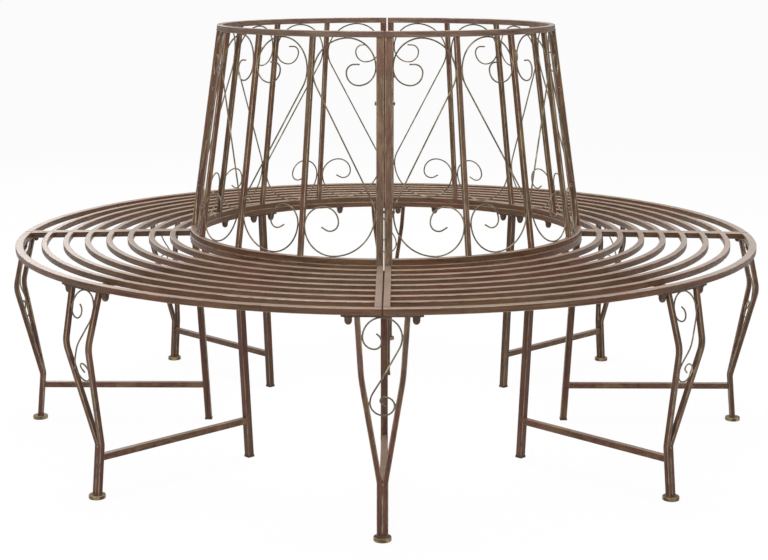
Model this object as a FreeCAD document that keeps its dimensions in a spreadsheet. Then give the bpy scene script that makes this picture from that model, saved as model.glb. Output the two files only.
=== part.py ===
import FreeCAD, Part
import math
import os
import Sketcher

# Round steel garden bench that closes around a tree, in millimetres.
# The origin is on the ground at the centre of the tree space, +Z is up and -Y is the front seam.
# The bench bolts together from four equal quarter sections, on eight leg frames.

SIZES = (
    ("rim_radius", 780, "outer face of the seat's outer rim"),
    ("rim_width", 16, "outer rim, seen from above"),
    ("inner_rim_radius", 405, "inner face of the seat's inner rim"),
    ("inner_rim_width", 14, "inner rim, seen from above"),
    ("seat_height", 418, "ground to the top of the outer rim"),
    ("seat_rise", 5.5, "inner rim above the outer rim"),
    ("bar_height", 12, "height of rims, slats and end bars"),
    ("slat_width", 12, "seat slat, seen from above"),
    ("slat_count", 7, "slats between the two rims"),
    ("last_gap_extra", 6.4, "how much wider the gap at the outer rim is than the other gaps"),
    ("end_bar_width", 12, "radial bar at each end of a section"),
    ("strap_width", 20, "flat strap under the slats at mid section"),
    ("strap_thickness", 4, "flat strap"),
    ("plate_thickness", 3, "leg top plates"),
    ("tube_wall", 1.2, "wall of the rims, slats, rails and posts"),
    ("tube_corner", 1.5, "outside corner of the square tubes"),
    ("seam_gap", 3, "space between two neighbouring sections"),
    ("overall_height", 862.5, "ground to the top of the backrest"),
    ("rail_size", 12, "square tube of the backrest's two rings"),
    ("top_rail_radius", 354, "outer face of the backrest's top ring"),
    ("post_size", 14, "square tube at each end of a back panel"),
    ("spindle_size", 10, "square tube inside a back panel"),
    ("back_wire", 3, "round wire of the backrest scrolls"),
    ("top_curl", 66, "first arc of a scroll's top curl"),
    ("top_curl_third", 33, "third arc of the top curl"),
    ("top_curl_fourth", 24.5, "fourth arc of the top curl"),
    ("top_curl_last", 15.5, "last arc of the top curl"),
    ("top_sweep_degrees", 90, "how far the last arc of the top curl turns"),
    ("low_curl", 81, "first arc of a scroll's low curl"),
    ("low_curl_third", 37, "third arc of the low curl"),
    ("low_curl_fourth", 30, "fourth arc of the low curl"),
    ("low_curl_last", 16.5, "last arc of the low curl"),
    ("low_sweep_degrees", 120, "how far the last arc of the low curl turns"),
    ("curl_tail", 10, "straight tip at each end of a back scroll"),
    ("scroll_bend", 58, "bends where a scroll leaves its posts"),
    ("scroll_shift", 0.5, "scroll from halfway between rings and spindles, outward"),
    ("leg_tube", 10, "square tube of the outer legs"),
    ("leg_wall", 1.2, "wall of the outer leg tubes"),
    ("leg_corner", 2, "outside corner of the outer leg tubes"),
    ("leg_spread", 86, "between the two tubes of a leg at the top"),
    ("bow_spread", 71.5, "between the two tubes at the bow"),
    ("bow_reach", 16, "bow of the outer leg, outside the rim"),
    ("bow_drop", 117, "bow below the top of the outer rim"),
    ("bow_bend", 60, "bend at the bow"),
    ("knee_inset", 27, "knee of the outer leg, inside the rim"),
    ("knee_height", 103, "height of the knee"),
    ("knee_bend", 26, "bend at the knee"),
    ("foot_inset", 17, "outer foot, inside the rim"),
    ("foot_diameter", 32, "outer foot disc"),
    ("foot_height", 8, "outer foot disc"),
    ("foot_edge", 1.5, "rounding of the foot disc"),
    ("leg_wire", 3, "round wire of the leg scrolls"),
    ("leg_curl", 34, "first arc of a leg scroll's top curl"),
    ("leg_curl_third", 20.5, "third arc of the top curl"),
    ("leg_curl_fourth", 12, "fourth arc of the top curl"),
    ("leg_curl_last", 15, "last arc of the top curl"),
    ("leg_top_sweep_degrees", 52, "how far the last arc of the top curl turns"),
    ("leg_top_tail", 4, "straight tip of the top curl"),
    ("leg_low_curl", 23.5, "first arc of a leg scroll's low curl"),
    ("leg_low_third", 17, "third arc of the low curl"),
    ("leg_low_fourth", 7.5, "fourth arc of the low curl"),
    ("leg_low_last", 5, "last arc of the low curl"),
    ("leg_low_sweep_degrees", 50, "how far the last arc of the low curl turns"),
    ("leg_low_tail", 10, "straight tip of the low curl"),
    ("leg_low_drop", 46.5, "widest place of the low curl below the bow"),
    ("leg_scroll_bend", 40, "bends where a leg scroll leaves its tubes"),
    ("leg_plate_length", 140, "plate on top of an outer leg"),
    ("leg_stud_spread", 116, "between the two studs of an outer leg"),
    ("inner_leg_size", 14, "square tube of the inner legs"),
    ("inner_leg_wall", 1.5, "wall of the inner legs"),
    ("inner_foot_inset", 14, "inner foot, inside the inner rim"),
    ("inner_plate_length", 76, "plate on top of an inner leg"),
    ("inner_stud_spread", 52, "between the two studs of an inner leg"),
    ("cap_overhang", 0.8, "foot cap past the inner leg"),
    ("cap_height", 4, "visible part of the foot cap"),
    ("cap_spigot", 10, "part of the foot cap inside the tube"),
    ("stretcher_size", 12, "square tube between the two legs"),
    ("stretcher_height", 78, "ground to the middle of the stretcher"),
    ("stud_diameter", 8, "studs and bolts"),
    ("stud_reach", 8.5, "stud past the piece it holds"),
    ("hole_clearance", 0.4, "hole over stud, on the diameter"),
    ("nut_size", 13, "across the flats of a domed nut"),
    ("nut_flange", 17, "flange of a domed nut"),
    ("flange_thickness", 1.6, "flange of a domed nut"),
    ("nut_height", 15, "domed nut with its flange"),
    ("dome_start", 8, "hexagon and flange of a domed nut"),
    ("dome_diameter", 12.4, "dome of the nut"),
    ("upper_bolt_height", 727, "upper seam bolt of the backrest"),
    ("lower_bolt_height", 523, "lower seam bolt of the backrest"),
    ("seam_bolt", 5, "seam bolts of the backrest"),
    ("seam_bolt_inset", 2, "seam bolt from the middle of the posts, towards the tree"),
    ("seam_head", 8, "round head of a seam bolt"),
    ("seam_head_height", 3.3, "round head of a seam bolt"),
    ("seam_nut", 8, "across the flats of a seam nut"),
    ("seam_nut_height", 4, "seam nut"),
    ("seam_bolt_end", 1, "seam bolt past its nut"),
    ("near_stud_degrees", 16, "first stud of the bottom ring, from the front or back seam"),
    ("far_stud_degrees", 63, "second stud of the bottom ring, from the front or back seam"),
)

SECTIONS = 4
LEGS = 8
FRONT_DEGREES = -90.0
SECTION_DEGREES = 360.0 / SECTIONS
LEG_DEGREES = 360.0 / LEGS
PANEL_BAYS = 4
WELD_CLEARANCE = 0.15
STRAP_CLEARANCE = 0.2
TRIM_MARGIN = 8.0

# Places that several pieces share, as expressions of the sheet.
SEAT_LOW = "(sheet.seat_height - sheet.bar_height)"
INNER_TOP = "(sheet.seat_height + sheet.seat_rise)"
INNER_LOW = "(%s - sheet.bar_height)" % INNER_TOP
PLATE_LOW = "(%s - sheet.plate_thickness)" % SEAT_LOW
INNER_PLATE_LOW = "(%s - sheet.plate_thickness)" % INNER_LOW
RIM_INNER = "(sheet.rim_radius - sheet.rim_width)"
INNER_RIM_OUTER = "(sheet.inner_rim_radius + sheet.inner_rim_width)"
RIM_MIDDLE = "(sheet.rim_radius - sheet.rim_width / 2)"
INNER_RIM_MIDDLE = "(sheet.inner_rim_radius + sheet.inner_rim_width / 2)"
BOW_RADIUS = "(sheet.rim_radius + sheet.bow_reach)"
BOW_HEIGHT = "(sheet.seat_height - sheet.bow_drop)"
KNEE_RADIUS = "(sheet.rim_radius - sheet.knee_inset)"
FOOT_RADIUS = "(sheet.rim_radius - sheet.foot_inset)"
INNER_FOOT_RADIUS = "(sheet.inner_rim_radius - sheet.inner_foot_inset)"
SLATS_SPREAD = "(%s - %s - sheet.last_gap_extra)" % (RIM_MIDDLE, INNER_RIM_MIDDLE)
SLAT_PITCH = "(%s / (sheet.slat_count + 1))" % SLATS_SPREAD
POST_LOW = INNER_RIM_MIDDLE
POST_HIGH = "(sheet.top_rail_radius - sheet.rail_size / 2)"
POST_TOP = "(sheet.overall_height - sheet.rail_size)"
POST_RISE = "(%s - %s)" % (POST_TOP, INNER_TOP)
SPINDLE_FOOT = "(%s + sheet.rail_size)" % INNER_TOP
SEAM_TO_BAR = "(sheet.seam_gap / 2 + sheet.end_bar_width)"
SEAM_TO_POST = "(sheet.seam_gap / 2 + sheet.post_size)"
INNER_LEG_RISE = "(%s - sheet.cap_height)" % INNER_PLATE_LOW
SEAM_BOLTS = ("sheet.upper_bolt_height", "sheet.lower_bolt_height")
STUD_HOLE = "(sheet.stud_diameter + sheet.hole_clearance) / 2"


def lean_at(height):
    """Radius of the line that the posts and spindles follow, at a height given as an expression."""
    run = "(%s - %s)" % (POST_LOW, POST_HIGH)
    return "(%s - %s * (%s - %s) / %s)" % (POST_LOW, run, height, INNER_TOP, POST_RISE)


def inner_leg_at(height):
    """Radius of an inner leg's middle line, at a height given as an expression."""
    run = "(%s - %s)" % (INNER_RIM_MIDDLE, INNER_FOOT_RADIUS)
    return "(%s + %s * (%s - sheet.cap_height) / %s)" % (INNER_FOOT_RADIUS, run, height, INNER_LEG_RISE)


def shin_at(height):
    """Radius of the outer leg's middle line below the knee, at a height given as an expression."""
    run = "(%s - %s)" % (FOOT_RADIUS, KNEE_RADIUS)
    return "(%s + %s * (sheet.knee_height - %s) / sheet.knee_height)" % (KNEE_RADIUS, run, height)


doc = FreeCAD.newDocument("tree_bench")
sheet = doc.addObject("Spreadsheet::Sheet", "sheet")
for row, (alias, size, note) in enumerate(SIZES, 1):
    sheet.set("A%d" % row, note)
    sheet.set("B%d" % row, str(size))
    sheet.setAlias("B%d" % row, alias)
doc.recompute()

nodes = []


def number(expression):
    """The present value of a sheet expression, as a plain number."""
    value = sheet.evalExpression(str(expression))
    return float(getattr(value, "Value", value))


def vector(x, y, z=0.0):
    return FreeCAD.Vector(x, y, z)


def turned(degrees, sideways=0.0):
    """A place turned about the bench's axis, after a shift to the side of the local X axis."""
    turn = FreeCAD.Rotation(vector(0, 0, 1), degrees)
    return FreeCAD.Placement(turn.multVec(vector(0, sideways)), turn)


def new_body(name):
    return doc.addObject("PartDesign::Body", name)


def new_sketch(body, name, role, height=None):
    """A sketch on one of the body's own origin planes, lifted to a height where one is given."""
    sketch = body.newObject("Sketcher::SketchObject", name)
    plane = [item for item in body.Origin.OriginFeatures if item.Role == role][0]
    sketch.AttachmentSupport = [(plane, "")]
    sketch.MapMode = "FlatFace"
    if height is not None:
        sketch.setExpression("AttachmentOffset.Base.z", height)
    return sketch


def bind(sketch, kind, places, expression):
    """A dimension that follows an expression of the sheet."""
    index = sketch.addConstraint(Sketcher.Constraint(kind, *places, number(expression)))
    sketch.setExpression("Constraints[%d]" % index, expression)


def add_rectangle(sketch, left, low, width, height):
    """A rectangle, with every argument an expression."""
    x, y, w, h = (number(item) for item in (left, low, width, height))
    corners = (vector(x, y), vector(x + w, y), vector(x + w, y + h), vector(x, y + h))
    edges = []
    for k in range(4):
        edges.append(sketch.addGeometry(Part.LineSegment(corners[k], corners[(k + 1) % 4])))
    for k in range(4):
        sketch.addConstraint(Sketcher.Constraint("Coincident", edges[k], 2, edges[(k + 1) % 4], 1))
    for k, kind in enumerate(("Horizontal", "Vertical", "Horizontal", "Vertical")):
        sketch.addConstraint(Sketcher.Constraint(kind, edges[k]))
    bind(sketch, "DistanceX", (-1, 1, edges[0], 1), left)
    bind(sketch, "DistanceY", (-1, 1, edges[0], 1), low)
    bind(sketch, "DistanceX", (edges[0], 1, edges[0], 2), width)
    bind(sketch, "DistanceY", (edges[1], 1, edges[1], 2), height)


def add_rounded_rectangle(sketch, left, low, width, height, corner):
    """A rectangle with round corners, with every argument an expression."""
    x, y, w, h, r = (number(item) for item in (left, low, width, height, corner))
    right, top = x + w, y + h
    sides = (((x + r, y), (right - r, y)), ((right, y + r), (right, top - r)),
             ((right - r, top), (x + r, top)), ((x, top - r), (x, y + r)))
    centres = ((right - r, y + r), (right - r, top - r), (x + r, top - r), (x + r, y + r))
    edges = []
    for k in range(4):
        edges.append(sketch.addGeometry(Part.LineSegment(vector(*sides[k][0]), vector(*sides[k][1]))))
        circle = Part.Circle(vector(*centres[k]), vector(0, 0, 1), r)
        arc = Part.ArcOfCircle(circle, (k - 1) * math.pi / 2, k * math.pi / 2)
        edges.append(sketch.addGeometry(arc))
    for k in range(8):
        sketch.addConstraint(Sketcher.Constraint("Tangent", edges[k], 2, edges[(k + 1) % 8], 1))
    for k, kind in enumerate(("Horizontal", "Vertical", "Horizontal", "Vertical")):
        sketch.addConstraint(Sketcher.Constraint(kind, edges[2 * k]))
    for k in (3, 5, 7):
        sketch.addConstraint(Sketcher.Constraint("Equal", edges[1], edges[k]))
    bind(sketch, "Radius", (edges[1],), corner)
    bind(sketch, "DistanceX", (-1, 1, edges[6], 1), left)
    bind(sketch, "DistanceY", (-1, 1, edges[0], 1), low)
    bind(sketch, "DistanceX", (edges[6], 1, edges[2], 1), width)
    bind(sketch, "DistanceY", (edges[0], 1, edges[4], 1), height)


def add_tube_section(sketch, left, low, width, height, wall="sheet.tube_wall"):
    """The outline and the bore of a rectangular tube."""
    add_rounded_rectangle(sketch, left, low, width, height, "sheet.tube_corner")
    add_rectangle(sketch, "%s + %s" % (left, wall), "%s + %s" % (low, wall),
                  "%s - 2 * %s" % (width, wall), "%s - 2 * %s" % (height, wall))


def add_circle(sketch, x, y, radius):
    """A circle, with every argument an expression."""
    circle = Part.Circle(vector(number(x), number(y)), vector(0, 0, 1), number(radius))
    edge = sketch.addGeometry(circle)
    bind(sketch, "DistanceX", (-1, 1, edge, 3), x)
    bind(sketch, "DistanceY", (-1, 1, edge, 3), y)
    bind(sketch, "Radius", (edge,), radius)


def cut_through(body, name, sketch):
    """A pocket through the whole body, both ways from its sketch."""
    doc.recompute()
    before = body.Shape.Volume
    pocket = body.newObject("PartDesign::Pocket", name)
    pocket.Profile = sketch
    pocket.Type = "ThroughAll"
    pocket.SideType = "Symmetric"
    body.Tip = pocket
    doc.recompute()
    assert pocket.Shape.Volume < before, name
    return pocket


def keep(node, label):
    """Marks an object as a sub-part of the bench, with the name of its file."""
    node.Label = label
    nodes.append(node)


def copy_of(source, name, place):
    """A linked copy, moved on from where its source stands."""
    link = doc.addObject("App::Link", name)
    link.LinkedObject = source
    link.LinkTransform = True
    link.Placement = place
    return link


def group(label, pieces, place=None):
    """One sub-part made of separate pieces, each a (source, place) pair."""
    node = doc.addObject("Part::Compound", label + "_group")
    links = []
    for k, (source, spot) in enumerate(pieces, 1):
        links.append(copy_of(source, "%s_piece_%d" % (label, k), spot))
    node.Links = links
    if place is not None:
        node.Placement = place
    keep(node, label)


def section_name(base, section):
    return "%s_%d" % (base, section + 1)


def section_middle(section):
    """Direction of a section's middle; the first section lies between the front and right seams."""
    return FRONT_DEGREES + (section + 0.5) * SECTION_DEGREES


def arc_bar(name, inner, low, width, height, clear_of_seam):
    """A rectangular tube bent to an arc about the bench's axis, with its middle on +X.

    Its ends stop at a distance from the two seams, measured at its inner face.
    """
    body = new_body(name)
    sketch = new_sketch(body, name + "_section", "XZ_Plane")
    add_tube_section(sketch, inner, low, width, height)
    bar = body.newObject("PartDesign::Revolution", name + "_bend")
    bar.Profile = sketch
    bar.ReferenceAxis = (sketch, ["V_Axis"])
    bar.Midplane = True
    bar.setExpression("Angle", "%gdeg - 2 * asin(%s / %s)" % (SECTION_DEGREES, clear_of_seam, inner))
    body.Tip = bar
    return body


def slanted_pad(body, name, sketch, run, rise, length):
    """A pad that runs off slantwise in the XZ plane; its length counts square to the sketch."""
    pad = body.newObject("PartDesign::Pad", name)
    pad.Profile = sketch
    pad.UseCustomVector = True
    pad.AlongSketchNormal = True
    pad.Direction = vector(number(run), 0, number(rise))
    pad.setExpression("Direction.x", run)
    pad.setExpression("Direction.z", rise)
    pad.setExpression("Length", length)
    body.Tip = pad


def leaning_bar(name, foot_height, foot_radius, run, rise, size, wall="sheet.tube_wall"):
    """A square tube that leans along X, cut level at both ends."""
    body = new_body(name)
    sketch = new_sketch(body, name + "_section", "XY_Plane", foot_height)
    add_tube_section(sketch, "(%s - %s / 2)" % (foot_radius, size), "(-%s / 2)" % size, size, size, wall)
    slanted_pad(body, name + "_length", sketch, run, rise, rise)
    return body


def radial_reach(half_width):
    """From the inner rim to where a bar's corners meet the outer rim, half its width off its middle."""
    return "(sqrt(%s ^ 2 - (%s) ^ 2) - %s)" % (RIM_INNER, half_width, INNER_RIM_OUTER)


# Seat: two rims, the slats between them, radial bars at the seams and a strap underneath.

def make_rims():
    for section in range(SECTIONS):
        outer = arc_bar(section_name("outer_rim", section), RIM_INNER, SEAT_LOW, "sheet.rim_width",
                        "sheet.bar_height", "sheet.seam_gap / 2")
        outer.Placement = turned(section_middle(section))
        keep(outer, section_name("outer_rim", section))
        inner = arc_bar(section_name("inner_rim", section), "sheet.inner_rim_radius", INNER_LOW,
                        "sheet.inner_rim_width", "sheet.bar_height", "sheet.seam_gap / 2")
        inner.Placement = turned(section_middle(section))
        drill_rail_bolts(inner, section)
        keep(inner, section_name("inner_rim", section))


def rail_bolt_angles(section):
    """Bolts that hold the backrest to the seat, in degrees from the section's middle."""
    from_front_or_back = (number("sheet.near_stud_degrees"), number("sheet.far_stud_degrees"))
    mirror = 1 if section % 2 == 0 else -1
    return [mirror * (angle - SECTION_DEGREES / 2) for angle in from_front_or_back]


def drill_rail_bolts(body, section):
    """The two holes of a section's inner rim; sections are mirrored in pairs."""
    sketch = new_sketch(body, body.Name + "_holes", "XY_Plane", INNER_LOW)
    mirror = 1 if section % 2 == 0 else -1
    for bolt in ("sheet.near_stud_degrees", "sheet.far_stud_degrees"):
        angle = "(%d * (%s - %g) * 1deg)" % (mirror, bolt, SECTION_DEGREES / 2)
        add_circle(sketch, "%s * cos%s" % (POST_LOW, angle), "%s * sin%s" % (POST_LOW, angle), STUD_HOLE)
    cut_through(body, body.Name + "_drilling", sketch)


def make_slats():
    """Arcs between the rims, each a little lower than the last on the way out."""
    slats = []
    for k in range(1, int(number("sheet.slat_count")) + 1):
        inner = "(%s + %d * %s - sheet.slat_width / 2)" % (INNER_RIM_MIDDLE, k, SLAT_PITCH)
        low = "(%s - sheet.seat_rise * %d / (sheet.slat_count + 1))" % (INNER_LOW, k)
        slats.append(arc_bar("slat_ring_%d" % k, inner, low, "sheet.slat_width", "sheet.bar_height",
                             SEAM_TO_BAR))
    for section in range(SECTIONS):
        group(section_name("seat_slats", section), [(slat, turned(0)) for slat in slats],
              turned(section_middle(section)))


def make_end_bars():
    """Straight radial tubes that fall outwards; each meets both rims at its nearest corners."""
    wide, tall = "sheet.end_bar_width", "sheet.bar_height"
    bar = new_body("end_bar")
    sketch = new_sketch(bar, "end_bar_section", "YZ_Plane", INNER_RIM_OUTER)
    add_tube_section(sketch, "(-%s / 2)" % wide, INNER_LOW, wide, tall)
    reach = radial_reach(SEAM_TO_BAR)
    slanted_pad(bar, "end_bar_length", sketch, reach, "-sheet.seat_rise", reach)
    aside = number("sheet.seam_gap / 2 + sheet.end_bar_width / 2")
    for section in range(SECTIONS):
        seam = FRONT_DEGREES + section * SECTION_DEGREES
        group(section_name("end_bars", section),
              [(bar, turned(seam, aside)), (bar, turned(seam + SECTION_DEGREES, -aside))])


def make_straps():
    """A flat strap welded under the slats at the middle of each section."""
    strap = new_body("strap_bar")
    sketch = new_sketch(strap, "strap_section", "YZ_Plane", INNER_RIM_OUTER)
    low = "(%s - sheet.strap_thickness - %g)" % (INNER_LOW, STRAP_CLEARANCE)
    add_rectangle(sketch, "(-sheet.strap_width / 2)", low, "sheet.strap_width", "sheet.strap_thickness")
    reach = radial_reach("sheet.strap_width / 2")
    slanted_pad(strap, "strap_length", sketch, reach, "-sheet.seat_rise", reach)
    for section in range(SECTIONS):
        group(section_name("slat_strap", section), [(strap, turned(section_middle(section)))])


# Backrest: two rings in quarters, end posts, spindles and wire scrolls.

def make_rails():
    for section in range(SECTIONS):
        top = arc_bar(section_name("top_rail", section), "(sheet.top_rail_radius - sheet.rail_size)",
                      POST_TOP, "sheet.rail_size", "sheet.rail_size", "sheet.seam_gap / 2")
        low = arc_bar(section_name("bottom_rail", section),
                      "(%s - sheet.rail_size / 2)" % POST_LOW, INNER_TOP,
                      "sheet.rail_size", "sheet.rail_size", SEAM_TO_POST)
        for rail, base in ((top, "top_rail"), (low, "bottom_rail")):
            rail.Placement = turned(section_middle(section))
            keep(rail, section_name(base, section))


def make_posts():
    run = "%s - %s" % (POST_HIGH, POST_LOW)
    post = leaning_bar("post", INNER_TOP, POST_LOW, run, POST_RISE, "sheet.post_size")
    sketch = new_sketch(post, "post_bolt_holes", "XZ_Plane")
    for height in SEAM_BOLTS:
        add_circle(sketch, "%s - sheet.seam_bolt_inset" % lean_at(height), height,
                   "(sheet.seam_bolt + sheet.hole_clearance) / 2")
    cut_through(post, "post_drilling", sketch)
    aside = number("sheet.seam_gap / 2 + sheet.post_size / 2")
    for section in range(SECTIONS):
        seam = FRONT_DEGREES + section * SECTION_DEGREES
        group(section_name("end_posts", section),
              [(post, turned(seam, aside)), (post, turned(seam + SECTION_DEGREES, -aside))])


def face_angle(reach):
    """Angle that a flat face takes up at the panel's middle radius, when it stands off a radial line."""
    middle = number("(%s + %s) / 2" % (POST_LOW, POST_HIGH))
    return math.degrees(math.asin(reach / middle))


def spindle_angles():
    """Spindles from a section's first seam, spaced so that all bays are equally wide inside."""
    seam_face = face_angle(number(SEAM_TO_POST))
    spindle_face = face_angle(number("sheet.spindle_size / 2"))
    clear = (SECTION_DEGREES - 2 * seam_face - 2 * (PANEL_BAYS - 1) * spindle_face) / PANEL_BAYS
    step = clear + 2 * spindle_face
    first = seam_face + clear + spindle_face
    return [first + k * step for k in range(PANEL_BAYS - 1)], clear


def bay_middles():
    angles, clear = spindle_angles()
    first = angles[0] - face_angle(number("sheet.spindle_size / 2")) - clear / 2
    step = angles[1] - angles[0]
    return [first + k * step for k in range(PANEL_BAYS)]


def make_spindles():
    run = "(%s - %s)" % (POST_HIGH, lean_at(SPINDLE_FOOT))
    rise = "(%s - %s)" % (POST_TOP, SPINDLE_FOOT)
    spindle = leaning_bar("spindle", SPINDLE_FOOT, lean_at(SPINDLE_FOOT), run, rise,
                          "sheet.spindle_size")
    angles, clear = spindle_angles()
    for section in range(SECTIONS):
        seam = FRONT_DEGREES + section * SECTION_DEGREES
        group(section_name("back_spindles", section),
              [(spindle, turned(seam + angle)) for angle in angles])


def quarter_arc(centre, radius, start, sweep):
    """Three points of a flat arc, in degrees, for a path that is laid on a plane later."""
    turns = (start, start + sweep / 2, start + sweep)
    return [(centre[0] + radius * math.cos(math.radians(a)),
             centre[1] + radius * math.sin(math.radians(a))) for a in turns]


def curl(edge, touch, radii, tail, last_sweep):
    """A curl that starts upright on the left and winds clockwise over its top touch.

    edge is the left upright tangent, touch the height of the top touch. The arcs come back in order
    from the upright tangent to the straight tip.
    """
    first = radii[0]
    centre = (edge + first, touch - first)
    arcs = []
    start = 180.0
    for k, radius in enumerate(radii):
        if k > 0:
            out = math.radians(start)
            step = radii[k - 1] - radius
            centre = (centre[0] + step * math.cos(out), centre[1] + step * math.sin(out))
        sweep = -90.0 if k < len(radii) - 1 else -last_sweep
        arcs.append(quarter_arc(centre, radius, start, sweep))
        start += sweep
    end = arcs[-1][-1]
    heading = math.radians(start - 90.0)
    tip = (end[0] + tail * math.cos(heading), end[1] + tail * math.sin(heading))
    return arcs, [end, tip]


def flipped(points):
    return [(-x, -y) for x, y in points]


def scroll_path(half_top, half_low, top, low, top_radii, low_radii, tails, bend, sweeps):
    """Flat S scroll: a curl that touches the top left, a slanting run, and a curl at the low right.

    half_top and half_low are half the clear width at the two curls, top and low the touching heights.
    The second arc of each curl fills what its first arc leaves of the width. The tails are the
    straight tips and the sweeps those of the last arcs, each at the top and below.
    """
    top_list = [top_radii[0], 2 * half_top - top_radii[0]] + list(top_radii[1:])
    low_list = [low_radii[0], 2 * half_low - low_radii[0]] + list(low_radii[1:])
    top_arcs, top_tip = curl(-half_top, top, top_list, tails[0], sweeps[0])
    low_arcs, low_tip = curl(-half_low, -low, low_list, tails[1], sweeps[1])
    upper = (-half_top + bend, top - top_radii[0])
    lower = (half_low - bend, low + low_radii[0])
    across, down = lower[0] - upper[0], upper[1] - lower[1]
    apart = math.hypot(across, down)
    slant = math.degrees(math.asin(2 * bend / apart) + math.atan2(across, down))
    upper_bend = quarter_arc(upper, bend, 180.0, slant)
    lower_bend = quarter_arc(lower, bend, slant, -slant)
    path = [list(reversed(top_tip))]
    path += [list(reversed(arc)) for arc in reversed(top_arcs)]
    path += [upper_bend, [upper_bend[-1], lower_bend[0]], lower_bend]
    path += [flipped(arc) for arc in low_arcs]
    path.append(flipped(low_tip))
    return path


def laid(path, place_point):
    """A flat path in space."""
    return [[place_point(*point) for point in points] for points in path]


def wire_along(path, diameter):
    """Round wire along a path of lines and arcs, given by two and three points."""
    edges = []
    for spots in path:
        if len(spots) == 3:
            edges.append(Part.Arc(*spots).toShape())
        else:
            edges.append(Part.LineSegment(*spots).toShape())
    spine = Part.Wire(edges)
    first = edges[0].Curve
    start = edges[0].valueAt(edges[0].FirstParameter)
    heading = first.Direction
    section = Part.Wire([Part.Circle(start, heading, diameter / 2).toShape()])
    solid = spine.makePipeShell([section], True, False)
    swept = math.pi * diameter ** 2 / 4 * spine.Length
    print("wire %.0f mm long, volume against its section %.4f" % (spine.Length, solid.Volume / swept))
    return solid


def fixed_piece(name, shape):
    piece = doc.addObject("Part::Feature", name)
    piece.Shape = shape
    return piece


def clear_half(height, depth, delta, reach):
    """Half the clear width of a bay on a plane at a depth from the axis."""
    radius = number(lean_at("%.6f" % height))
    turn = math.radians(delta)
    along = (depth - radius * math.cos(turn) - reach * math.sin(turn)) / math.cos(turn)
    return radius * math.sin(turn) - reach * math.cos(turn) + along * math.sin(turn)


def make_back_scrolls():
    """Flat scrolls halfway between the depth of the rings and the depth of the spindles."""
    reach = number("sheet.spindle_size / 2")
    angles, clear = spindle_angles()
    delta = clear / 2 + face_angle(reach)
    low, high = number(SPINDLE_FOOT), number(POST_TOP)
    inward = math.cos(math.radians(delta))
    shift = number("sheet.scroll_shift")
    low_depth = (number(POST_LOW) + number(lean_at(SPINDLE_FOOT)) * inward) / 2 + shift
    high_depth = (number(POST_HIGH) + number(POST_HIGH) * inward) / 2 + shift
    slope = math.atan2(low_depth - high_depth, high - low)
    length = (high - low) / math.cos(slope)
    wire = number("sheet.back_wire")
    stand_off = wire / 2 / math.cos(slope) + WELD_CLEARANCE
    top_radii = [number("sheet." + size) for size in
                 ("top_curl", "top_curl_third", "top_curl_fourth", "top_curl_last")]
    low_radii = [number("sheet." + size) for size in
                 ("low_curl", "low_curl_third", "low_curl_fourth", "low_curl_last")]

    def half_at(rise):
        share = rise / length
        height = low + share * (high - low)
        depth = low_depth + share * (high_depth - low_depth)
        return clear_half(height, depth, delta, reach) - wire / 2 - WELD_CLEARANCE

    half_top = half_at(length - top_radii[0])
    half_low = half_at(low_radii[0])
    tail = number("sheet.curl_tail")
    path = scroll_path(half_top, half_low, length - stand_off, stand_off, top_radii, low_radii,
                       (tail, tail), number("sheet.scroll_bend"),
                       (number("sheet.top_sweep_degrees"), number("sheet.low_sweep_degrees")))
    scrolls = []
    for name, side in (("scroll_left_high", -1), ("scroll_right_high", 1)):
        def lay(x, rise):
            return vector(low_depth - rise * math.sin(slope), -side * x, low + rise * math.cos(slope))
        scrolls.append(fixed_piece(name, wire_along(laid(path, lay), wire)))
    for section in range(SECTIONS):
        seam = FRONT_DEGREES + section * SECTION_DEGREES
        pieces = [(scrolls[(k + 1) % 2], turned(seam + middle))
                  for k, middle in enumerate(bay_middles())]
        group(section_name("back_scrolls", section), pieces)


# Legs: eight frames, each an outer pair of bent tubes, an inner leg and a stretcher.

def rounded_corner(before, corner, after, bend):
    """Start, crown and end of the arc that rounds a corner."""
    back = (before - corner).normalize()
    ahead = (after - corner).normalize()
    half = back.getAngle(ahead) / 2
    middle = (back + ahead).normalize()
    reach = bend / math.tan(half)
    return [corner + back * reach, corner + middle * (bend / math.sin(half) - bend), corner + ahead * reach]


def bent_path(points, bends):
    """Straight runs between points, joined by tangent arcs of the given radii."""
    edges = []
    start = points[0]
    for k, bend in enumerate(bends, 1):
        arc = rounded_corner(points[k - 1], points[k], points[k + 1], bend)
        edges.append(Part.LineSegment(start, arc[0]).toShape())
        edges.append(Part.Arc(*arc).toShape())
        start = arc[2]
    edges.append(Part.LineSegment(start, points[-1]).toShape())
    return Part.Wire(edges)


def square_section(centre, heading, across, size, corner):
    """A square with round corners, square to the heading, with two sides along across."""
    side = across - heading * across.dot(heading)
    side.normalize()
    up = heading.cross(side)
    half = size / 2
    spots = [(-1, -1), (1, -1), (1, 1), (-1, 1)]
    corners = [centre + side * (half * x) + up * (half * y) for x, y in spots]
    outline = Part.makePolygon(corners + [corners[0]])
    if corner > 0:
        edges = []
        for k in range(4):
            here, after, before = corners[k], corners[(k + 1) % 4], corners[k - 1]
            to_after = (after - here).normalize()
            to_before = (before - here).normalize()
            round_centre = here + to_after * corner + to_before * corner
            crown = round_centre - (to_after + to_before).normalize() * corner
            first, last = here + to_before * corner, here + to_after * corner
            edges.append(Part.Arc(first, crown, last).toShape())
            edges.append(Part.LineSegment(last, after - to_after * corner).toShape())
        outline = Part.Wire(edges)
    return outline


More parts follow.
